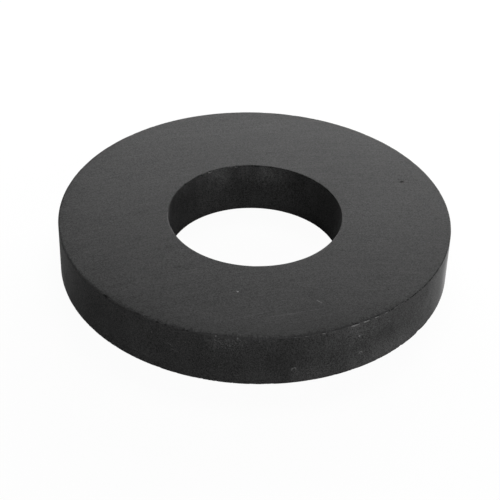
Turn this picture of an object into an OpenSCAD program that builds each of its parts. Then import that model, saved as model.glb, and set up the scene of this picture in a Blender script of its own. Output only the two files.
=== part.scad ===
// Ring magnet: a flat ring of sintered ferrite, a hard dark grey ceramic.
// It is pressed and fired in one piece and magnetised through its thickness.
// Both flat faces are ground, the outside and the bore stay as fired, and each
// rim has a small edge break. Ferrite is brittle, so its rims carry flakes.
// The origin is at the centre of the lower face and +Z runs along the bore.

/* [Ring] */
// Outside diameter
outer_d = 72; // [50:1:120]
// Bore diameter
bore_d = 32; // [12:1:40]
// Thickness between the ground faces
thickness = 10; // [4:0.5:25]

/* [Edges] */
// Edge break of the two outside rims, measured along each face
outer_break = 0.15; // [0.05:0.05:0.6]
// Edge break of the two bore rims, measured along each face
bore_break = 0.1; // [0.05:0.05:0.6]

/* [Flakes] */
// Length along the rim of a full-size flake
flake_length = 1.8; // [0.8:0.1:3]
// How far a full-size flake goes in, from the middle of the edge break
flake_depth = 0.2; // [0.1:0.05:0.4]
// Length along the bore's rim of a full-size scallop, which is long and shallow
scallop_length = 5.2; // [2:0.1:6]
// How far a full-size scallop goes in, from the middle of the edge break
scallop_depth = 0.12; // [0.05:0.01:0.2]
// How far the worn flat goes in on the upper outside rim, from the same middle
worn_depth = 0.2; // [0.05:0.05:0.3]

/* [Hidden] */
outer_r = outer_d / 2;
bore_r = bore_d / 2;

// Flakes on each outside rim: [angle round the ring, share of the full size]
upper_flakes = [
    [226, 0.8], [237.5, 0.9], [240.5, 0.5], [282, 0.4], [289.5, 0.5], [299, 1],
    [302.5, 0.7], [306, 0.6], [309.5, 0.5], [313, 0.4], [315.5, 0.6]
];
lower_flakes = [[276, 0.4], [316.5, 0.5], [325, 0.8]];

// Scallops on the bore's upper rim: [angle round the ring, share of the full size]
upper_scallops = [[94.5, 0.9], [114, 1], [131, 0.75]];

// Middle of the worn flat, round the ring
worn_angle = 263;

// Segments round the ring and round a bite
ring_fn = 240;
bite_fn = 72;

// Radius of the ball that cuts a bite of this length and depth into a rim of radius r.
// An outside rim bends away from the ball and the bore's rim bends towards it.
function bite_r(length, depth, r, away) =
    1 / (2 * depth / (pow(length / 2, 2) + pow(depth, 2)) - away / (sqrt(2) * r));

// Half of the ring's section, with its four corners broken
module section() {
    polygon([
        [bore_r + bore_break, 0],
        [outer_r - outer_break, 0],
        [outer_r, outer_break],
        [outer_r, thickness - outer_break],
        [outer_r - outer_break, thickness],
        [bore_r + bore_break, thickness],
        [bore_r, thickness - bore_break],
        [bore_r, bore_break]
    ]);
}

// A ball that bites into a rim on the 45 degree line through its edge break. The rim
// is at radius r and height z; away and up are +1 or -1 and point out of the ring.
// The ball is turned so that its own seam never lies in the bite.
module bite(angle, r, z, away, up, edge, length, depth) {
    ball_r = bite_r(length, depth, r, away);
    reach = (ball_r - depth) / sqrt(2) - edge / 2;
    rotate([0, 0, angle])
        translate([r + away * reach, 0, z + up * reach])
            rotate([0, 0, 90 - 90 * away])
                sphere(r = ball_r, $fn = bite_fn);
}

// The flakes of one outside rim
module flakes(list, z, up) {
    for (flake = list)
        bite(flake[0], outer_r, z, 1, up, outer_break, flake_length * flake[1], flake_depth * flake[1]);
}

// The scallops of the bore's upper rim
module scallops(list) {
    for (scallop = list)
        bite(
            scallop[0], bore_r, thickness, -1, 1, bore_break,
            scallop_length * scallop[1], scallop_depth * scallop[1]
        );
}

// A block that rubs the upper outside rim down to a flat at 45 degrees
module worn_flat() {
    inset = outer_break / 2 + worn_depth / sqrt(2);
    rotate([0, 0, worn_angle])
        translate([outer_r - inset, 0, thickness - inset])
            rotate([0, 45, 0])
                translate([-thickness / 2, -outer_r / 2, 0])
                    cube([thickness, outer_r, thickness]);
}

module ring_magnet() {
    color("#3b3b3c")
        difference() {
            rotate_extrude($fn = ring_fn) section();
            flakes(upper_flakes, thickness, 1);
            flakes(lower_flakes, 0, -1);
            scallops(upper_scallops);
            worn_flat();
        }
}

ring_magnet();
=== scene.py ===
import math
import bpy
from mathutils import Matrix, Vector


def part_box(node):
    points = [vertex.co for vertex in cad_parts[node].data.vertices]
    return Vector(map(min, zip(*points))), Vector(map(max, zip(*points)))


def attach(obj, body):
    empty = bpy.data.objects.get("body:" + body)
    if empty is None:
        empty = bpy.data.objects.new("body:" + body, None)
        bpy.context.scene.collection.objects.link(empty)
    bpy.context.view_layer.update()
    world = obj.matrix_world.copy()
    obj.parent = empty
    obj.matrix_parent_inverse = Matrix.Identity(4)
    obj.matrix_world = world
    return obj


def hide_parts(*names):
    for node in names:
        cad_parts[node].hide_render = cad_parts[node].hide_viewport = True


bl_info = {
    "name": "Ring Magnet",
    "version": (1, 0, 0),
    "blender": (4, 5, 0),
    "location": "3D View > Sidebar > Magnet",
    "description": "Ferrite ring magnet with ground faces, fired walls and flaked rims",
    "category": "Object",
}

import bmesh
import bpy
from bpy.props import FloatProperty, FloatVectorProperty, PointerProperty
from bpy.types import Operator, Panel, PropertyGroup
from mathutils import Matrix, Vector, kdtree, noise

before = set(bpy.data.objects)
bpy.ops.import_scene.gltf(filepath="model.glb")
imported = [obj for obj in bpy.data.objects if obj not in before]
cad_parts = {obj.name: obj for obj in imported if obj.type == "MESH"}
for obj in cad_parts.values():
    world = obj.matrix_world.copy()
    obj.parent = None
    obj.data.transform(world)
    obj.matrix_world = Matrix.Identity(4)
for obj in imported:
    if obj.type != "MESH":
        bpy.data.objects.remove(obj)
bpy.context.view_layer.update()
NODE = "ring_magnet"
RING_LOW, RING_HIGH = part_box(NODE)
# The ring's surface stays this far inside the solid's box.
HELD_IN = 1e-6
BORE_RADIUS = min(math.hypot(v.co.x, v.co.y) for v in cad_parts[NODE].data.vertices)

# Where the rims are broken: degrees round the ring from +X towards +Y, share of the full size,
# and the look of the break: -1 darkens all of it with painted shade, 0 leaves it plain, and 1
# gives it a pale lip of painted highlight on bright new grains under a roof of painted shadow.
UPPER_FLAKES = (
    (226, 0.7, -0.8),
    (237.5, 0.7, -0.5),
    (240.5, 0.4, 0.0),
    (281.8, 0.4, 0.6),
    (284.8, 0.35, 0.5),
    (289.7, 0.45, 0.8),
    (299, 1.0, 1.0),
    (302.5, 0.7, 1.0),
    (306, 0.6, 0.7),
    (309.5, 0.5, 0.7),
    (313, 0.4, 0.5),
    (315.5, 0.6, 0.3),
)
LOWER_FLAKES = ((276, 0.4, 0.0), (316.5, 0.5, 0.2), (325, 0.8, 0.2))
BORE_SCALLOPS = ((94.5, 0.9, 0.0), (114, 1.0, 0.2), (131, 0.75, 0.0))
# Small deep nicks on the upper rims, in the same terms.
RIM_NICKS = (
    (238.2, 0.75, -0.3),
    (244.0, 0.5, -0.6),
    (246.6, 0.55, -0.6),
    (248.6, 0.4, -0.4),
    (251.8, 0.45, -0.5),
    (252.9, 0.5, -0.6),
)
BORE_NICKS = (
    (146.6, 0.6, -0.4),
    (134.4, 0.45, 0.0),
    (128.5, 0.45, -0.3),
    (123.1, 0.9, 0.65),
    (110.0, 0.5, 0.0),
    (103.9, 0.75, 0.5),
    (97.0, 0.4, 0.0),
    (93.9, 0.5, -0.3),
    (79.8, 0.5, 0.0),
)
WORN_ANGLE = 263

# Where marks lie, in millimetres: the upper ground face, the two walls and the upper outside rim.
MILLIMETRES = 1000
FACE_LEVEL = round(RING_HIGH.z * MILLIMETRES, 2)
OUTER = round(RING_HIGH.x * MILLIMETRES, 2)
BORE = round(BORE_RADIUS * MILLIMETRES, 2)
RIM_RADIUS = OUTER - 0.15
RIM_LEVEL = FACE_LEVEL - 0.15

# Marks on the upper ground face: x and y in millimetres, then the radius. Smudges also have how
# dark they are, and dust how clear.
PITS = (
    (27.74, 12.01, 0.40),
    (27.2, 12.9, 0.17),
    (21.37, -10.19, 0.15),
    (23.42, -21.68, 0.17),
    (11.91, -19.75, 0.14),
)
SMUDGES = (
    (-13.5, -17.1, 0.35, 0.35),
    (-13.0, -16.9, 0.35, 0.4),
    (-16.0, -20.0, 1.3, 0.13),
)
DUST = (
    (-2.55, -23.46, 0.17, 1.0),
    (-27.91, -6.15, 0.2, 0.12),
)
# Scratches on the upper ground face: both ends, half the width, and how clear it is.
SCRATCHES = (
    (11.1, -25.2, 11.85, -25.85, 0.14, 1.8),
    (3.2, -30.1, 8.8, -28.4, 0.14, 0.55),
    (9.8, -28.1, 11.5, -27.6, 0.12, 0.5),
    (-1.2, -30.2, 0.2, -29.8, 0.12, 0.4),
    (-13.45, -11.92, -11.32, -11.81, 0.11, 0.35),
    (-8.2, -29.9, -3.5, -28.8, 0.12, 0.3),
    (-4.7, -31.8, 2.7, -28.7, 0.12, 0.3),
)
# Faint patches on the upper ground face, part stain and part painted light: they darken the face
# most in front, as painted shade, and lighten it most towards the right, as painted sheen. x, y
# and radius in millimetres, and how much paler.
FACE_STAINS_AND_PAINTED_LIGHT = (
    (12.7, -31.5, 8, -0.13),
    (-23.3, -23.3, 9, -0.09),
    (-26, 7, 15, 0.06),
    (22, 0, 13, 0.06),
    (-8, 19.5, 10, -0.07),
    (4.3, -34.7, 6, -0.07),
    (25, 24, 6, 0.06),
    (-14, -19, 6, -0.06),
    (-15.5, -27.5, 5, -0.10),
)

# Dust on the outside wall: degrees, height and radius in millimetres, and how clear.
WALL_DUST = (
    (242.5, 7.4, 0.16, 0.4),
    (300.5, 7.27, 0.2, 1.0),
    (225.0, 9.5, 0.14, 0.2),
    (250.5, 7.2, 0.15, 0.25),
    (248.1, 6.1, 0.15, 0.25),
    (246.1, 6.7, 0.14, 0.12),
    (266.5, 9.65, 0.16, 0.35),
)
# Dust on the upper outside rim: degrees, radius and how clear.
RIM_DUST = (
    (260.7, 0.16, 0.5),
    (266.5, 0.15, 0.5),
    (250.4, 0.14, 0.4),
)
# Curled nicks in the outside wall: degrees, height and radius in millimetres.
WALL_NICKS = (
    (281.9, 3.0, 0.42),
    (301.4, 3.3, 0.34),
)
# Scratches on the outside wall: degrees and height of both ends, and half the width.
WALL_SCRATCHES = (
    (247.2, 6.25, 248.7, 5.85, 0.10),
    (248.5, 5.17, 250.3, 4.89, 0.12),
)
# Pale and dark patches on the walls, partly stains the kiln left and partly painted light: pale
# ones at the right end of the outside wall are a painted grazing highlight, a pale one at its left
# end a painted reflection, pale ones in the upper bore a painted reflection of the lit floor, and
# dark ones high on the bore's left painted shade. Degrees, height, radius of the wall and of the
# stain in millimetres, and how much paler (or, below 0, darker) its middle is.
STAINS_AND_PAINTED_LIGHT = (
    (262.5, 10.5, OUTER, 4.0, 0.25),
    (286, 1.0, OUTER, 5.0, 0.25),
    (305, 1.0, OUTER, 6.0, 0.3),
    (299, 9.0, OUTER, 5.0, 0.2),
    (309, 6.0, OUTER, 2.5, -0.12),
    (316, 1.0, OUTER, 5.0, 0.22),
    (338, 6.5, OUTER, 8.0, 0.45),
    (203, 1.0, OUTER, 7.0, -0.45),
    (225, 1.5, OUTER, 5.0, 0.2),
    (240, 1.0, OUTER, 5.0, 0.2),
    (279, 4.5, OUTER, 7.0, -0.18),
    (300, 9.0, OUTER, 4.0, 0.1),
    (235, 3.0, OUTER, 6.0, 0.1),
    (349, 5.0, OUTER, 6.0, 1.5),
    (262, 5.0, OUTER, 6.0, -0.08),
    (115, 8.5, BORE, 4.5, 0.5),
    (78, 9.5, BORE, 5.0, 0.7),
    (123, 6.0, BORE, 6.0, 0.3),
    (164, 9.8, BORE, 5.0, -0.6),
    (117, 8.2, BORE, 2.2, 0.18),
    (140, 9.8, BORE, 4.0, -0.15),
    (91, 9.0, BORE, 4.5, 0.45),
    (201, 7.5, OUTER, 4.0, 0.12),
    (194, 2.5, OUTER, 4.0, 0.3),
    (308, 8.5, OUTER, 3.5, 0.18),
    (274, 1.5, OUTER, 3.5, 0.12),
)

# The grinding wheel's centre, far off the ring, and its distance, all in millimetres.
WHEEL_X = 25
WHEEL_Y = -110
WHEEL_DISTANCE = 110
# How much longer than wide the grinding lines are, and how far each face's lines lie apart.
LINE_STRETCH = 26
FACE_SHIFT = 3
# Size of the ferrite's crystals in millimetres.
CRYSTAL = 0.14
# How many times its own colour a finish can reach where its tone is lightest.
LIGHTEST = 3
BLACK = (0, 0, 0, 1)

# The flaked front of the ring is turned in finer steps than its plain back.
FRONT_START = 218
FRONT_SWEEP = 112
SECTORS = 8
FRONT_STEPS = 93
BACK_STEPS = 56
# Steps round each edge break, and the rims' margin, counted in outside edge breaks.
OUTER_SEGMENTS = 4
BORE_SEGMENTS = 3
RIM_MARGIN = 5
# Cuts across the broad faces, then across the margins by the lower bore rim, the upper bore rim,
# the lower outside rim and the upper outside rim.
BROAD_CUTS = 3
MARGIN_CUTS = (3, 4, 5, 9)
MERGE_DISTANCE = 2e-6

# Crumbling reaches this many edge breaks from the rim. Its lumps: how many to a millimetre, and
# how strong. The front has finer ones on top, and its shares of the radius say where it begins.
CRUMBLE_REACH = 6
LUMPS = ((0.55, 1.0), (1.9, 0.7))
FRONT_LUMPS = (4.3, 0.6)
FRONT_CRUMBLE = 0.6
FRONT_FROM = 0.4
FRONT_FULL = 0.7
BORE_CRUMBLE = 0.25
# Ripples in a break: how many to a millimetre, and their height in metres.
RIPPLES = ((3.1, 0.00003), (7.3, 0.00002))
# Depth in metres at which a spot counts as wholly broken, and as wholly lit by its painted
# highlight and darkened by its painted shadow.
BROKEN_DEPTH = 0.00005
MARKED_DEPTH = 0.00003
# Across a break, from -1 by the ground face to 1 by the wall: where its pale lip of painted
# highlight rises and falls away and its dark roof of painted shadow begins, and how soon a break
# with a brighter look has a full roof.
LIP_RISE = (-0.45, -0.15)
LIP_FALL = (0.85, 0.5)
ROOF_RISE = (-0.2, -0.5)
ROOF_GAIN = 3

# The ring's finishes, in the order of its material slots.
GROUND, FIRED, BROKEN = range(3)
# A face is broken above this share, ground if it lies this level, fired if it is this upright.
BROKEN_SHARE = 0.3
LEVEL = 0.97
UPRIGHT = 0.22


# ---------------------------------------------------------------- sizes and colours


class MagnetSizes(PropertyGroup):
    """The ring's sizes, its edge breaks and how its rims are broken"""

    outer_radius: FloatProperty(
        name="Outer radius",
        description="Radius of the outside wall",
        default=round(RING_HIGH.x, 5) - HELD_IN,
        unit="LENGTH",
    )
    bore_radius: FloatProperty(
        name="Bore radius",
        description="Radius of the hole through the middle",
        default=round(BORE_RADIUS, 5),
        unit="LENGTH",
    )
    thickness: FloatProperty(
        name="Thickness",
        description="Height between the two ground faces",
        default=round(RING_HIGH.z - RING_LOW.z, 5) - HELD_IN,
        unit="LENGTH",
    )
    outer_break: FloatProperty(
        name="Outside edge break",
        description="Width taken off both outside rims",
        default=0.0001,
        unit="LENGTH",
    )
    bore_break: FloatProperty(
        name="Bore edge break",
        description="Width taken off both bore rims",
        default=0.0001,
        unit="LENGTH",
    )
    flake_length: FloatProperty(
        name="Flake length",
        description="Length along the rim of the largest flake",
        default=0.0018,
        unit="LENGTH",
    )
    flake_depth: FloatProperty(
        name="Flake depth",
        description="Depth of the largest flake below the edge break",
        default=0.0002,
        unit="LENGTH",
    )
    nick_length: FloatProperty(
        name="Nick length",
        description="Length along the rim of the largest small deep nick",
        default=0.0010,
        unit="LENGTH",
    )
    nick_depth: FloatProperty(
        name="Nick depth",
        description="Depth of the largest small deep nick",
        default=0.00028,
        unit="LENGTH",
    )
    scallop_length: FloatProperty(
        name="Scallop length",
        description="Length of the long shallow bites along the bore's rim",
        default=0.0052,
        unit="LENGTH",
    )
    scallop_depth: FloatProperty(
        name="Scallop depth",
        description="Depth of the bites along the bore's rim",
        default=0.00012,
        unit="LENGTH",
    )
    worn_depth: FloatProperty(
        name="Worn depth",
        description="Depth of the rubbed flat on the front rim",
        default=0.0002,
        unit="LENGTH",
    )
    crumble: FloatProperty(
        name="Crumble",
        description="How unevenly the brittle edges have crumbled",
        default=0.00005,
        unit="LENGTH",
    )


class MagnetFinish(PropertyGroup):
    """The colours of the ferrite's finishes"""

    ground_colour: FloatVectorProperty(
        name="Ground faces",
        description="Colour of the ground ferrite",
        default=(0.035, 0.035, 0.035),
        subtype="COLOR",
    )
    fired_colour: FloatVectorProperty(
        name="Outside wall",
        description="Colour of the kiln skin on the outside wall",
        default=(0.040, 0.040, 0.040),
        subtype="COLOR",
    )
    bore_colour: FloatVectorProperty(
        name="Bore wall",
        description="Colour of the kiln skin in the bore",
        default=(0.036, 0.036, 0.036),
        subtype="COLOR",
    )
    broken_colour: FloatVectorProperty(
        name="Broken edges",
        description="Colour of the open grain on old edge breaks",
        default=(0.055, 0.055, 0.055),
        subtype="COLOR",
    )
    # Painted shade: dark in the breaks' roofs and nicks, on the +X side and on most of the bore's
    # rim.
    dark_and_shaded_colour: FloatVectorProperty(
        name="Grimy edges",
        description="Colour of the edge break where it holds dark grit",
        default=(0.010, 0.010, 0.010),
        subtype="COLOR",
    )
    # Painted highlight: the pale lips of fresh flakes, facing up to the light.
    fresh_and_lit_colour: FloatVectorProperty(
        name="Fresh flakes",
        description="Colour of newly broken grain",
        default=(0.17, 0.17, 0.17),
        subtype="COLOR",
    )
    dust_colour: FloatVectorProperty(
        name="Dust",
        description="Colour of the few specks of dust",
        default=(0.25, 0.25, 0.25),
        subtype="COLOR",
    )


class MagnetStage(PropertyGroup):
    """The floor and the backdrop"""

    floor_colour: FloatVectorProperty(
        name="Floor",
        description="Colour of the plain floor",
        default=(0.92, 0.92, 0.92),
        subtype="COLOR",
    )
    floor_size: FloatProperty(
        name="Floor size",
        description="Side of the square floor",
        default=4.0,
        unit="LENGTH",
    )
    floor_white: FloatProperty(
        name="Floor white",
        description="How far the floor is seen as plain white, the rest keeping the shadow",
        default=0.96,
        subtype="FACTOR",
    )
    backdrop_light: FloatProperty(
        name="Backdrop light",
        description="How strongly the white backdrop lights the ring",
        default=0.07,
        subtype="FACTOR",
    )


# ---------------------------------------------------------------- shader sums


class Value:
    """A number on its way through a material. Sums on it add Math nodes."""

    def __init__(self, finish, socket):
        self.finish = finish
        self.socket = socket

    def _sum(self, operation, *others):
        inputs = dict(enumerate((self, *others)))
        return self.finish.add("ShaderNodeMath", {"operation": operation}, inputs)

    def _flipped(self, operation, first):
        inputs = {0: first, 1: self}
        return self.finish.add("ShaderNodeMath", {"operation": operation}, inputs)

    def __add__(self, other):
        return self._sum("ADD", other)

    def __radd__(self, other):
        return self._flipped("ADD", other)

    def __sub__(self, other):
        return self._sum("SUBTRACT", other)

    def __rsub__(self, other):
        return self._flipped("SUBTRACT", other)

    def __mul__(self, other):
        return self._sum("MULTIPLY", other)

    def __truediv__(self, other):
        return self._sum("DIVIDE", other)

    def __pow__(self, other):
        return self._sum("POWER", other)

    def lesser(self, other):
        return self._sum("MINIMUM", other)

    def greater(self, other):
        return self._sum("MAXIMUM", other)

    def uneven(self, strength):
        """Noise round 0.5 made into a rise and fall round 0, of the given strength."""
        return (self - 0.5) * strength


class Finish:
    """A material being made, with one principled shader."""

    def __init__(self, name, **constants):
        self.material = bpy.data.materials.new(name)
        self.material.use_nodes = True
        self.tree = self.material.node_tree
        self.tree.nodes.clear()
        self.shader = self.tree.nodes.new("ShaderNodeBsdfPrincipled")
        output = self.tree.nodes.new("ShaderNodeOutputMaterial")
        self.tree.links.new(self.shader.outputs[0], output.inputs["Surface"])
        for socket, value in constants.items():
            self.shader.inputs[socket.replace("_", " ")].default_value = value

    def add(self, kind, settings, inputs, output=None):
        """Adds a node: its settings first, then the values or links of its sockets."""
        node = self.tree.nodes.new(kind)
        for key, setting in settings.items():
            setattr(node, key, setting)
        sockets = {s.identifier: s for s in node.inputs}
        for key, value in inputs.items():
            socket = node.inputs[key] if isinstance(key, int) else sockets[key]
            if isinstance(value, Value):
                self.tree.links.new(value.socket, socket)
            else:
                socket.default_value = value
        outputs = {s.identifier: s for s in node.outputs}
        return Value(self, outputs[output] if output else node.outputs[0])

    def feed(self, socket, value):
        """Lets a value drive one socket of the shader."""
        self.tree.links.new(value.socket, self.shader.inputs[socket])

    def millimetres(self):
        """The place on the piece, in millimetres from the ring's centre."""
        place = self.add("ShaderNodeTexCoord", {}, {}, "Object")
        return self.vector("MULTIPLY", place, (MILLIMETRES, MILLIMETRES, MILLIMETRES))

    def vector(self, operation, *parts, output=None):
        inputs = dict(enumerate(parts))
        return self.add("ShaderNodeVectorMath", {"operation": operation}, inputs, output)

    def distance(self, place, point):
        """How far a place is from a fixed point."""
        return self.vector("DISTANCE", place, point, output="Value")

    def length(self, x, y):
        """The length of a step with two parts."""
        return (x * x + y * y) ** 0.5

    def angle(self, across, along):
        """The direction of a step with two parts, in radians away from the second."""
        return self.add("ShaderNodeMath", {"operation": "ARCTAN2"}, {0: across, 1: along})

    def split(self, place):
        """The three parts of a place as numbers."""
        return [self.add("ShaderNodeSeparateXYZ", {}, {0: place}, axis) for axis in "XYZ"]

    def joined(self, x, y, z):
        return self.add("ShaderNodeCombineXYZ", {}, {"X": x, "Y": y, "Z": z})

    def cloud(self, place, size, detail=2.0, roughness=0.5, shift=0.0):
        """Noise round 0.5, with lumps about the given size in millimetres."""
        moved = self.vector("ADD", place, (shift, shift * 1.7, shift * 0.6))
        inputs = {"Vector": moved, "Scale": 1 / size, "Detail": detail, "Roughness": roughness}
        return self.add("ShaderNodeTexNoise", {}, inputs, "Fac")

    def swayed(self, place, noises, reach):
        """A place moved by three noises round 0.5, each over its own reach in millimetres."""
        sway = self.vector("SUBTRACT", self.joined(*noises), (0.5, 0.5, 0.5))
        return self.vector("ADD", place, self.vector("MULTIPLY", sway, reach))

    def crystals(self, place, size):
        """Small cells, each with a number of its own from 0 to 1."""
        inputs = {"Vector": place, "Scale": 1 / size}
        cell = self.add("ShaderNodeTexVoronoi", {}, inputs, "Color")
        return self.vector("DOT_PRODUCT", cell, (1, 0, 0), output="Value")

    def between(self, value, start, end, low=0.0, high=1.0):
        """A soft step from low at start to high at end."""
        settings = {"interpolation_type": "SMOOTHSTEP"}
        inputs = {0: value, 1: start, 2: end, 3: low, 4: high}
        return self.add("ShaderNodeMapRange", settings, inputs)

    def mixed(self, share, first, second):
        """A colour between two others."""
        settings = {"data_type": "RGBA"}
        inputs = {"Factor_Float": share, "A_Color": first, "B_Color": second}
        return self.add("ShaderNodeMix", settings, inputs, "Result_Color")

    def toned(self, tone, lightest):
        """A colour between black and the lightest one, by a tone of 1 for its plain look."""
        return self.mixed(tone / LIGHTEST, BLACK, lightest)

    def bump(self, height, depth):
        """A normal from a height, with its full depth in metres."""
        return self.add("ShaderNodeBump", {}, {"Distance": depth, "Height": height})


def opaque(colour, factor=1.0):
    """A colour with its alpha, made lighter or darker."""
    return (*(part * factor for part in colour), 1.0)


# ---------------------------------------------------------------- ring


def section(bm, sizes):
    """The ring's section at angle 0: one loop of edges, with most points by the rims."""
    inner = sizes.bore_radius
    outer = sizes.outer_radius
    top = sizes.thickness
    spots = ((inner, 0, 0), (outer, 0, 0), (outer, 0, top), (inner, 0, top))
    corners = [bm.verts.new(spot) for spot in spots]
    bm.faces.new(corners)
    outer_rims = (corners[1:3], sizes.outer_break, OUTER_SEGMENTS)
    bore_rims = (corners[::3], sizes.bore_break, BORE_SEGMENTS)
    for rim, width, segments in (outer_rims, bore_rims):
        bmesh.ops.bevel(
            bm,
            geom=rim,
            offset=width,
            offset_type="OFFSET",
            segments=segments,
            profile=0.5,
            affect="VERTICES",
            material=-1,
        )
    margin = RIM_MARGIN * sizes.outer_break
    for place, normal in (
        ((inner + margin, 0, 0), (1, 0, 0)),
        ((outer - margin, 0, 0), (1, 0, 0)),
        ((0, 0, margin), (0, 0, 1)),
        ((0, 0, top - margin), (0, 0, 1)),
    ):
        whole = bm.verts[:] + bm.edges[:] + bm.faces[:]
        bmesh.ops.bisect_plane(bm, geom=whole, plane_co=place, plane_no=normal)
    inside = [e for e in bm.edges if not e.is_boundary]
    bmesh.ops.delete(bm, geom=bm.faces[:], context="FACES_ONLY")
    bmesh.ops.delete(bm, geom=inside, context="EDGES")
    middle = (inner + outer) / 2
    groups = {}
    for edge in bm.edges:
        centre = (edge.verts[0].co + edge.verts[1].co) / 2
        length = edge.calc_length()
        upper = centre.z > top / 2
        outside = centre.x > middle
        if length > 2 * margin:
            cuts = BROAD_CUTS
        elif length < margin / 4:
            cuts = 0
        else:
            cuts = MARGIN_CUTS[upper + 2 * outside]
        groups.setdefault(cuts, []).append(edge)
    for cuts, edges in groups.items():
        if cuts:
            bmesh.ops.subdivide_edges(bm, edges=edges, cuts=cuts)


def swept(sizes, sweep, steps):
    """A mesh of the section spun through one sweep, in degrees, starting at angle 0."""
    part = bmesh.new()
    section(part, sizes)
    bmesh.ops.spin(
        part,
        geom=part.verts[:] + part.edges[:],
        cent=(0, 0, 0),
        axis=(0, 0, 1),
        dvec=(0, 0, 0),
        angle=math.radians(sweep),
        steps=steps,
        use_merge=False,
        use_duplicate=False,
    )
    mesh = bpy.data.meshes.new("sector")
    part.to_mesh(mesh)
    part.free()
    return mesh


def turned(bm, sizes):
    """Sets equal sectors side by side all round: fine ones in front, plain ones behind."""
    angle = FRONT_START
    for sweep, steps in ((FRONT_SWEEP, FRONT_STEPS), (360 - FRONT_SWEEP, BACK_STEPS)):
        sector = swept(sizes, sweep / SECTORS, steps)
        for _ in range(SECTORS):
            known = len(bm.verts)
            bm.from_mesh(sector)
            bm.verts.ensure_lookup_table()
            turn = Matrix.Rotation(math.radians(angle), 4, "Z")
            bmesh.ops.transform(bm, matrix=turn, verts=bm.verts[known:])
            angle += sweep / SECTORS
        bpy.data.meshes.remove(sector)
    bmesh.ops.remove_doubles(bm, verts=bm.verts, dist=MERGE_DISTANCE)
    bmesh.ops.recalc_face_normals(bm, faces=bm.faces)


def ramp(value, start, end):
    """A straight rise from 0 at start to 1 at end, or a fall if end lies below start."""
    return max(0.0, min(1.0, (value - start) / (end - start)))


def crumbled(bm, sizes):
    """Takes a little off every rim, unevenly, and the rubbed flat off the front rim."""
    rubbed = math.radians(WORN_ANGLE)
    for vert in bm.verts:
        radius = math.hypot(vert.co.x, vert.co.y)
        angle = math.atan2(vert.co.y, vert.co.x)
        outside = radius > (sizes.outer_radius + sizes.bore_radius) / 2
        upper = vert.co.z > sizes.thickness / 2
        away = 1 if outside else -1
        up = 1 if upper else -1
        rim = sizes.outer_radius if outside else sizes.bore_radius
        width = sizes.outer_break if outside else sizes.bore_break
        level = sizes.thickness if upper else 0
        side = (rim - radius) * away
        drop = (level - vert.co.z) * up
        if side + drop > CRUMBLE_REACH * width:
            continue
        place = Vector((rim * math.cos(angle), rim * math.sin(angle), level)) * MILLIMETRES
        uneven = sum(strength * noise.noise(place * pitch) for pitch, strength in LUMPS)
        crumble = sizes.crumble
        if outside:
            front = ramp(-vert.co.y, rim * FRONT_FROM, rim * FRONT_FULL)
            pitch, strength = FRONT_LUMPS
            uneven += strength * noise.noise(place * pitch) * front
            crumble *= 1 + FRONT_CRUMBLE * front
        else:
            crumble *= BORE_CRUMBLE
        cut = width / math.sqrt(2) + crumble * max(0, uneven)
        depth = (side + drop) / math.sqrt(2)
        move = max(0, cut - depth)
        if outside and upper:
            along = radius * math.cos(angle - rubbed)
            flat_depth = (rim - along + drop) / math.sqrt(2)
            move = max(move, width / math.sqrt(2) + sizes.worn_depth - flat_depth)
        step = move / math.sqrt(2)
        outward = Vector((math.cos(angle), math.sin(angle), 0))
        vert.co -= outward * (away * step)
        vert.co.z -= up * step


def bites(sizes):
    """Centre and radius of the ball that struck each flake and scallop, and its painted light and
    shade.
    """
    outer = (sizes.outer_radius, sizes.outer_break, 1)
    bore = (sizes.bore_radius, sizes.bore_break, -1)
    flake = (sizes.flake_length, sizes.flake_depth)
    nick = (sizes.nick_length, sizes.nick_depth)
    scallop = (sizes.scallop_length, sizes.scallop_depth)
    rows = [(*spot, *outer, 1, *flake) for spot in UPPER_FLAKES]
    rows += [(*spot, *outer, -1, *flake) for spot in LOWER_FLAKES]
    rows += [(*spot, *bore, 1, *scallop) for spot in BORE_SCALLOPS]
    rows += [(*spot, *outer, 1, *nick) for spot in RIM_NICKS]
    rows += [(*spot, *bore, 1, *nick) for spot in BORE_NICKS]
    for angle, share, fresh_and_lit, rim, width, away, up, full_length, full_depth in rows:
        length = full_length * share
        depth = full_depth * share
        bend = 2 * depth / ((length / 2) ** 2 + depth**2) - away / (math.sqrt(2) * rim)
        radius = 1 / bend
        reach = (radius - depth) / math.sqrt(2) - width / 2
        turn = Matrix.Rotation(math.radians(angle), 4, "Z")
        level = sizes.thickness if up > 0 else 0
        yield turn @ Vector((rim + away * reach, 0, level + up * reach)), radius, fresh_and_lit


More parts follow.
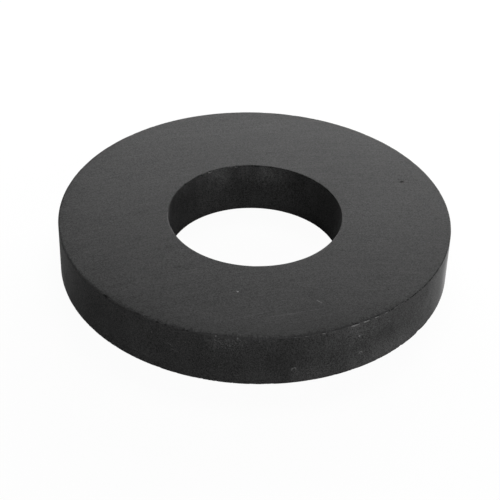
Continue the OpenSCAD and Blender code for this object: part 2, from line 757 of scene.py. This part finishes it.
def flaked(bm, sizes, struck, fresh_and_lit, shaded):
    """Presses the rims back to the struck balls; marks painted highlight on lips, painted shadow
    in roofs.
    """
    tree = kdtree.KDTree(len(bm.verts))
    for vert in bm.verts:
        tree.insert(vert.co, vert.index)
    tree.balance()
    bm.verts.ensure_lookup_table()
    for centre, radius, light_and_shade in bites(sizes):
        for _, index, _ in tree.find_range(centre, radius * 1.02):
            vert = bm.verts[index]
            way = vert.co - centre
            place = vert.co * MILLIMETRES
            ripple = sum(height * noise.noise(place * pitch) for pitch, height in RIPPLES)
            move = radius + ripple - way.length
            if move > 0:
                vert.co += way.normalized() * move
                vert[struck] = min(1.0, vert[struck] + move / BROKEN_DEPTH)
                reach = math.hypot(vert.co.x, vert.co.y)
                side = min(sizes.outer_radius - reach, reach - sizes.bore_radius)
                drop = sizes.thickness - vert.co.z
                tilt = (drop - side) / (drop + side + 1e-9)
                deep = min(1.0, move / MARKED_DEPTH)
                # Painted highlight on the break's pale lip and painted shadow in its roof.
                lip = ramp(tilt, *LIP_RISE) * ramp(tilt, *LIP_FALL)
                roof = max(ramp(tilt, *ROOF_RISE) * min(1.0, ROOF_GAIN * light_and_shade), -light_and_shade)
                vert[fresh_and_lit] = max(vert[fresh_and_lit], light_and_shade * lip * deep)
                vert[shaded] = max(vert[shaded], roof * deep)


def finish_of(face, struck):
    """Which of the three finishes a face of the ring has."""
    if max(vert[struck] for vert in face.verts) > BROKEN_SHARE:
        return BROKEN
    if abs(face.normal.z) > LEVEL:
        return GROUND
    if abs(face.normal.z) < UPRIGHT:
        return FIRED
    return BROKEN


class MAGNET_OT_ring(Operator):
    """Make the ferrite ring: ground faces, fired walls, broken and flaked rims"""

    bl_idname = "magnet.ring"
    bl_label = "Ring"

    def execute(self, context):
        sizes = context.scene.magnet_sizes
        finish = context.scene.magnet_finish
        bm = bmesh.new()
        turned(bm, sizes)
        bm.verts.index_update()
        struck = bm.verts.layers.float.new("struck")
        fresh_and_lit = bm.verts.layers.float.new("fresh_and_lit")
        shaded = bm.verts.layers.float.new("shaded")
        crumbled(bm, sizes)
        flaked(bm, sizes, struck, fresh_and_lit, shaded)
        bm.normal_update()
        for face in bm.faces:
            face.smooth = True
            face.material_index = finish_of(face, struck)
        mesh = bpy.data.meshes.new("ferrite_ring")
        bm.to_mesh(mesh)
        bm.free()
        ring = bpy.data.objects.new("ferrite_ring", mesh)
        context.scene.collection.objects.link(ring)
        for make in (ground_ferrite, fired_ferrite, broken_ferrite):
            mesh.materials.append(make(finish))
        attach(ring, "root")
        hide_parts(NODE)
        return {"FINISHED"}


# ---------------------------------------------------------------- finishes


def on_wall(angle, height, radius=OUTER):
    """The point of a wall at an angle and a height, in millimetres."""
    turn = math.radians(angle)
    return (radius * math.cos(turn), radius * math.sin(turn), height)


def on_face(x, y):
    """A point of the upper ground face, in millimetres."""
    return (x, y, FACE_LEVEL)


def mark(work, place, point, radius):
    """1 on a small round mark, with a soft edge."""
    return work.between(work.distance(place, point), radius * 1.3, radius * 0.6)


def streak(work, place, start, end, width):
    """1 along a straight scratch between two points, with soft sides."""
    way = Vector(end) - Vector(start)
    length = way.length
    unit = tuple(way / length)
    offset = work.vector("SUBTRACT", place, start)
    run = work.vector("DOT_PRODUCT", offset, unit, output="Value")
    held = run.greater(0).lesser(length)
    step = work.vector("MULTIPLY", work.joined(held, held, held), unit)
    nearest = work.vector("ADD", step, start)
    return work.between(work.distance(place, nearest), width, width * 0.3)


def curl(work, place, level, angle, height, size):
    """1 on the upper part of the edge of a small round nick in the outside wall."""
    distance = work.distance(place, on_wall(angle, height))
    inner = work.between(distance, size * 0.45, size * 0.8)
    outer = work.between(distance, size * 1.35, size)
    return inner * outer * work.between(level, height - size * 0.9, height + size * 0.2)


def joint_mask(masks):
    """The strongest of several masks."""
    total = masks[0]
    for mask in masks[1:]:
        total = total.greater(mask)
    return total


def stained_and_lit(work, tone, place, stains):
    """A tone made paler or darker by stains and painted light: the middle, radius and strength of
    each.
    """
    for middle, radius, strength in stains:
        share = work.between(work.distance(place, middle), radius, radius * 0.2)
        tone = tone * (1 + share * strength)
    return tone


def face_marks(work, place, wobble):
    """Masks of the pits, smudges, dust and scratches on the upper ground face."""
    pits = [mark(work, wobble, on_face(x, y), radius) for x, y, radius in PITS]
    smudges = [
        mark(work, wobble, on_face(x, y), radius) * dark
        for x, y, radius, dark in SMUDGES
    ]
    dust = [
        mark(work, wobble, on_face(x, y), radius) * clear
        for x, y, radius, clear in DUST
    ]
    scratches = [
        streak(work, place, on_face(x0, y0), on_face(x1, y1), width) * clear
        for x0, y0, x1, y1, width, clear in SCRATCHES
    ]
    return [joint_mask(masks) for masks in (pits, smudges, dust, scratches)]


def in_bore(work, radius):
    """1 on the bore's wall and rims, 0 on the outside."""
    return work.between(radius, BORE + 4, BORE + 1)


def rim_shade(work, place):
    """Painted shade on the ground face by its outer rim, darkest in front: what is left of its
    tone.
    """
    x, y, z = work.split(place)
    radius = work.length(x, y)
    inwards = OUTER - radius
    front = work.between(y, -18, -32)
    left = work.between(x, -12, -30)
    chipping = work.cloud(place, 0.4, detail=1, roughness=0.6, shift=11.0)
    edge = work.between(inwards - chipping.uneven(4.0), 1.0, 0.1)
    line = work.between(inwards - chipping.uneven(0.8), 0.4, 0.2) * left * 0.4
    # Painted shade: darker towards the rim and the front, with a darker edge and a dark line on
    # the left.
    painted_rim_shade = work.between(inwards, 5, 1) * (0.05 + front * 0.13)
    painted_rim_shade = painted_rim_shade + edge * (0.04 + front * 0.16 + left * 0.12) + line
    # Painted shade in jagged dark teeth, where the rim crumbled into the face.
    along = work.angle(y, x) * OUTER
    jags = work.cloud(work.joined(along, radius * 0.3, z), 0.31, roughness=0.6, shift=13.0)
    teeth = work.between(inwards - jags.uneven(4.8), 0.7, 0.4) * front * 0.65
    return (1 - painted_rim_shade - front * 0.06) * (1 - teeth)


def ground_ferrite(finish):
    """Both flat faces: ground matt, with faint curved grinding lines, grain, pits and stains, and
    painted shade.
    """
    work = Finish("ground_ferrite", Specular_IOR_Level=0.02)
    place = work.millimetres()
    x, y, z = work.split(place)
    # The grinding wheel turned about a point far off the ring, so it left shallow arcs.
    wheel_x = x - WHEEL_X
    wheel_y = y - WHEEL_Y
    along = work.angle(wheel_x, wheel_y) * WHEEL_DISTANCE
    arcs = work.joined(work.length(wheel_x, wheel_y), along / LINE_STRETCH, z * FACE_SHIFT)
    fine_lines = work.cloud(arcs, 0.28, roughness=0.6)
    broad_lines = work.cloud(arcs, 1.4, shift=7.0)
    grain = work.cloud(place, 0.23, detail=1)
    crystals = work.crystals(place, CRYSTAL)
    speckle = work.cloud(place, 0.6, roughness=0.6, shift=3.0)
    stains = work.cloud(place, 11, detail=3, roughness=0.55, shift=1.3)
    lines = fine_lines.uneven(0.55) + broad_lines.uneven(0.35)
    lines = lines + work.between(fine_lines, 0.62, 0.76) * 0.22
    tone = 1 + lines + crystals.uneven(1.05) + grain.uneven(0.1) + stains.uneven(0.35)
    # Painted shade by the outer rim.
    tone = tone * rim_shade(work, place)
    ragged = work.swayed(place, (stains, speckle, speckle), (12, 3, 0))
    # Faint patches, part stain and part painted shade and sheen.
    rows = [(on_face(*middle), radius, strength) for *middle, radius, strength in FACE_STAINS_AND_PAINTED_LIGHT]
    tone = stained_and_lit(work, tone, ragged, rows)
    wobble = work.swayed(place, (speckle, grain, grain), (0.8, 0.5, 0))
    pits, smudges, dust, scratches = face_marks(work, place, wobble)
    # Painted shade darkens the pits.
    tone = tone * (1 - pits * 0.9) * (1 - smudges) + scratches * 1.1
    ground = work.toned(tone, opaque(finish.ground_colour, LIGHTEST))
    work.feed("Base Color", work.mixed(dust, ground, opaque(finish.dust_colour)))
    work.feed("Roughness", 0.46 + broad_lines.uneven(0.2) + grain.uneven(0.15) + pits * 0.3)
    height = grain.uneven(0.5) + fine_lines.uneven(0.5) - pits * 2 - scratches * 0.6
    work.feed("Normal", work.bump(height, 0.000012))
    return work.material


def wall_marks(work, wobble, level):
    """Masks of the dust, scratches and curled nicks on the outside wall."""
    dust = [
        mark(work, wobble, on_wall(angle, height), radius) * clear
        for angle, height, radius, clear in WALL_DUST
    ]
    scratches = [
        streak(work, wobble, on_wall(first, low), on_wall(last, high), width)
        for first, low, last, high, width in WALL_SCRATCHES
    ]
    nicks = [curl(work, wobble, level, *nick) for nick in WALL_NICKS]
    return [joint_mask(masks) for masks in (dust, scratches, nicks)]


def fired_ferrite(finish):
    """The outside and bore walls: the dull, blotchy skin left by the kiln."""
    work = Finish("fired_ferrite", Specular_IOR_Level=0.018)
    place = work.millimetres()
    x, y, z = work.split(place)
    radius = work.length(x, y)
    # From -1 on the -X side of the ring to 1 on the +X side.
    towards = x / radius
    bore = in_bore(work, radius)
    grain = work.cloud(place, 0.2, detail=1, roughness=0.6)
    speckle = work.cloud(place, 0.5, roughness=0.6, shift=3.0)
    upright = work.vector("MULTIPLY", place, (1, 1, 0.45))
    blotches = work.cloud(upright, 2.6, detail=3, roughness=0.55, shift=2.0)
    stains = work.cloud(place, 9, shift=5.0)
    crystals = work.crystals(place, CRYSTAL)
    tone = 1 + grain.uneven(2.1) + crystals.uneven(0.5) + speckle.uneven(0.6)
    tone = tone + blotches.uneven(0.5) + stains.uneven(0.3)
    # Painted light from the floor: paler towards it. Then pale and dark patches, some stains, some
    # painted light.
    tone = tone * (1 + work.between(z, 4.5, 1.0) * 0.16)
    ragged = work.swayed(place, (blotches, blotches, speckle), (6, 6, 4))
    # Pale and dark patches: some kiln stains, some painted highlight, painted reflection and
    # painted shade.
    rows = [
        (on_wall(angle, height, wall), size, strength)
        for angle, height, wall, size, strength in STAINS_AND_PAINTED_LIGHT
    ]
    tone = stained_and_lit(work, tone, ragged, rows)
    # Broken grain left light flecks below the worn rim.
    flecks = work.between(work.cloud(place, 0.26, detail=1, shift=17.0), 0.52, 0.62)
    away = work.distance(ragged, on_wall(WORN_ANGLE + 1, FACE_LEVEL - 0.4))
    tone = tone + flecks * work.between(away, 4.2, 1.0) * 1.1
    wobble = work.swayed(place, (speckle, grain, grain), (0.6, 0.5, 0))
    dust, scratches, nicks = wall_marks(work, wobble, z)
    # Crumbs broken off the front rim left light grains just below it.
    crumbs = work.between(work.cloud(place, 0.32, detail=1, shift=8.0), 0.55, 0.66)
    below = FACE_LEVEL - z
    crumbs = crumbs * work.between(below - speckle.uneven(1.2), 0.8, 0.3)
    crumbs = crumbs * work.between(towards, -0.35, -0.05) * work.between(towards, 0.72, 0.62)
    tone = tone + scratches + nicks * 1.6 + crumbs * (1 - bore) * 0.7
    outer_skin = opaque(finish.fired_colour, LIGHTEST)
    bore_skin = opaque(finish.bore_colour, LIGHTEST)
    fired = work.toned(tone, work.mixed(bore, outer_skin, bore_skin))
    # Dust looks greyer on the dull walls than on the ground face.
    work.feed("Base Color", work.mixed(dust, fired, opaque(finish.dust_colour, 0.6)))
    # The mould wall rubbed both sides smoother than the front, the right one most of all.
    rubbed = work.between(towards, -0.6, -0.95) * 0.25 + work.between(towards, 0.52, 0.72) * 0.25
    rubbed = rubbed + work.between(towards, 0.9, 0.97) * 0.27
    dull = 0.85 - rubbed * (1 - bore)
    work.feed("Roughness", dull + blotches.uneven(0.15) + grain.uneven(0.1))
    height = grain.uneven(0.6) + speckle.uneven(0.8) + blotches.uneven(1.0)
    work.feed("Normal", work.bump(height - nicks - scratches * 0.5, 0.00002))
    return work.material


def broken_ferrite(finish):
    """Edge breaks and flakes: open grain, with painted shade where old and painted highlight where
    fresh.
    """
    work = Finish("broken_ferrite", Specular_IOR_Level=0.02)
    place = work.millimetres()
    x, y, _ = work.split(place)
    radius = work.length(x, y)
    grain = work.cloud(place, 0.13, roughness=0.6)
    lumps = work.cloud(place, 0.3, roughness=0.7, shift=4.0)
    fresh_and_lit = work.add("ShaderNodeAttribute", {"attribute_name": "fresh_and_lit"}, {}, "Fac")
    shaded = work.add("ShaderNodeAttribute", {"attribute_name": "shaded"}, {}, "Fac")
    tone = 1 + grain.uneven(1.8) + lumps.uneven(1.2)
    # Painted shade: the break is dark on the +X side of the ring, where its chipped gaps lie in
    # shade, and in its shaded roofs; it is darker on most of the bore's rim, and elsewhere keeps
    # its own grain.
    dashes = work.cloud(place, 0.45, detail=1, shift=9.0)
    bore = in_bore(work, radius)
    gaps = work.between(dashes, 0.56, 0.44) * work.between(y, 10, 13)
    dark_and_shaded = work.between(x / radius + dashes.uneven(1.6), 0.62, 0.9)
    dark_and_shaded = dark_and_shaded.greater(bore * (0.8 - gaps * 0.6)).greater(shaded)
    clean = opaque(finish.broken_colour, LIGHTEST)
    old = work.mixed(dark_and_shaded, clean, opaque(finish.dark_and_shaded_colour, LIGHTEST))
    # Painted highlight on fresh flakes' lips, painted shade where old and in roofs.
    edge = work.toned(tone, work.mixed(fresh_and_lit, old, opaque(finish.fresh_and_lit_colour, LIGHTEST)))
    dust = [
        mark(work, place, on_wall(angle, RIM_LEVEL, RIM_RADIUS), size) * clear
        for angle, size, clear in RIM_DUST
    ]
    work.feed("Base Color", work.mixed(joint_mask(dust), edge, opaque(finish.dust_colour)))
    work.feed("Roughness", 0.6 - fresh_and_lit * 0.2 + grain.uneven(0.3))
    work.feed("Normal", work.bump(grain + lumps, 0.00005))
    return work.material


# ---------------------------------------------------------------- stage


def camera(scene):
    """A long lens above and in front of the ring, rolled a little."""
    distance = 0.2767
    height = math.radians(36.69)
    pan = math.radians(-0.145)
    tilt = math.radians(0.265)
    roll = math.radians(1.83)
    data = bpy.data.cameras.new("camera")
    data.sensor_width = 36
    data.lens = 105.84
    data.clip_start = 0.01
    data.clip_end = 20
    place = Vector((0, -math.cos(height), math.sin(height))) * distance
    level = Matrix.Rotation(math.pi / 2 - height, 4, "X")
    aim = Matrix.Rotation(-pan, 4, "Y") @ Matrix.Rotation(tilt, 4, "X")
    aim = aim @ Matrix.Rotation(roll, 4, "Z")
    view = bpy.data.objects.new("camera", data)
    view.matrix_world = Matrix.Translation(place) @ level @ aim
    scene.collection.objects.link(view)
    scene.camera = view


# Each lamp's name, degrees round from +X, degrees up, distance, width, height and watts.
LAMPS = (
    ("key", 84, 18, 0.22, 0.22, 0.12, 0.83),
    ("high", 84, 60, 0.35, 0.22, 0.12, 0.54),
    ("side", 0, 4, 0.35, 0.25, 0.05, 0.68),
    ("back_side", 60, 4, 0.35, 0.25, 0.05, 1.72),
    ("front", 290, 25, 0.45, 0.30, 0.15, 0.61),
)


def lamps(scene):
    """Soft flat lamps, all aimed at the ring."""
    for name, round_angle, up_angle, distance, width, height, watts in LAMPS:
        data = bpy.data.lights.new(name, "AREA")
        data.shape = "RECTANGLE"
        data.size = width
        data.size_y = height
        data.energy = watts
        turn = math.radians(round_angle)
        rise = math.radians(up_angle)
        level = math.cos(rise)
        away = Vector((math.cos(turn) * level, math.sin(turn) * level, math.sin(rise)))
        lamp = bpy.data.objects.new(name, data)
        lamp.location = away * distance
        lamp.rotation_mode = "QUATERNION"
        lamp.rotation_quaternion = away.to_track_quat("Z", "Y")
        lamp.visible_camera = False
        scene.collection.objects.link(lamp)


def seen_directly(tree):
    """1 for camera, glossy and transmission rays, which are shown the white studio."""
    path = tree.nodes.new("ShaderNodeLightPath")
    total = path.outputs["Is Camera Ray"]
    for name in ("Is Glossy Ray", "Is Transmission Ray"):
        either = tree.nodes.new("ShaderNodeMath")
        either.operation = "MAXIMUM"
        tree.links.new(total, either.inputs[0])
        tree.links.new(path.outputs[name], either.inputs[1])
        total = either.outputs[0]
    return total


def studio_air(scene, stage):
    """A white backdrop all round that lights the ring evenly and softly."""
    world = bpy.data.worlds.new("studio")
    world.use_nodes = True
    tree = world.node_tree
    shade = tree.nodes["Background"]
    share = tree.nodes.new("ShaderNodeMapRange")
    tree.links.new(seen_directly(tree), share.inputs[0])
    share.inputs["To Min"].default_value = stage.backdrop_light
    share.inputs["To Max"].default_value = 1.0
    tree.links.new(share.outputs[0], shade.inputs["Strength"])
    shade.inputs["Color"].default_value = (1, 1, 1, 1)
    scene.world = world


def studio_floor(scene, stage):
    """A plain pale floor that keeps the ring's soft shadow."""
    bm = bmesh.new()
    bmesh.ops.create_grid(bm, x_segments=1, y_segments=1, size=stage.floor_size / 2)
    mesh = bpy.data.meshes.new("floor")
    bm.to_mesh(mesh)
    bm.free()
    floor = bpy.data.objects.new("floor", mesh)
    scene.collection.objects.link(floor)
    material = bpy.data.materials.new("floor")
    material.use_nodes = True
    tree = material.node_tree
    tree.nodes.clear()
    paint = tree.nodes.new("ShaderNodeBsdfDiffuse")
    paint.inputs["Color"].default_value = opaque(stage.floor_colour)
    glow = tree.nodes.new("ShaderNodeEmission")
    mix = tree.nodes.new("ShaderNodeMixShader")
    share = tree.nodes.new("ShaderNodeMath")
    share.operation = "MULTIPLY"
    share.inputs[1].default_value = stage.floor_white
    output = tree.nodes.new("ShaderNodeOutputMaterial")
    tree.links.new(seen_directly(tree), share.inputs[0])
    tree.links.new(share.outputs[0], mix.inputs[0])
    tree.links.new(paint.outputs[0], mix.inputs[1])
    tree.links.new(glow.outputs[0], mix.inputs[2])
    tree.links.new(mix.outputs[0], output.inputs["Surface"])
    mesh.materials.append(material)


class MAGNET_OT_stage(Operator):
    """Make the camera, the soft lamps, the backdrop and the floor"""

    bl_idname = "magnet.stage"
    bl_label = "Stage"

    def execute(self, context):
        scene = context.scene
        scene.view_settings.view_transform = "Standard"
        camera(scene)
        lamps(scene)
        studio_air(scene, scene.magnet_stage)
        studio_floor(scene, scene.magnet_stage)
        return {"FINISHED"}


# ---------------------------------------------------------------- panel


class MAGNET_PT_panel(Panel):
    bl_label = "Ring Magnet"
    bl_idname = "MAGNET_PT_panel"
    bl_space_type = "VIEW_3D"
    bl_region_type = "UI"
    bl_category = "Magnet"

    def draw(self, context):
        layout = self.layout
        for group in ("magnet_sizes", "magnet_finish", "magnet_stage"):
            box = layout.box()
            settings = getattr(context.scene, group)
            for name in settings.__annotations__:
                box.prop(settings, name)
        layout.operator(MAGNET_OT_stage.bl_idname)
        layout.operator(MAGNET_OT_ring.bl_idname)


CLASSES = (
    MagnetSizes,
    MagnetFinish,
    MagnetStage,
    MAGNET_OT_ring,
    MAGNET_OT_stage,
    MAGNET_PT_panel,
)


def register():
    for cls in CLASSES:
        bpy.utils.register_class(cls)
    bpy.types.Scene.magnet_sizes = PointerProperty(type=MagnetSizes)
    bpy.types.Scene.magnet_finish = PointerProperty(type=MagnetFinish)
    bpy.types.Scene.magnet_stage = PointerProperty(type=MagnetStage)


def unregister():
    del bpy.types.Scene.magnet_stage
    del bpy.types.Scene.magnet_finish
    del bpy.types.Scene.magnet_sizes
    for cls in reversed(CLASSES):
        bpy.utils.unregister_class(cls)


def main():
    register()
    bpy.ops.magnet.stage()
    bpy.ops.magnet.ring()


if __name__ == "__main__":
    main()
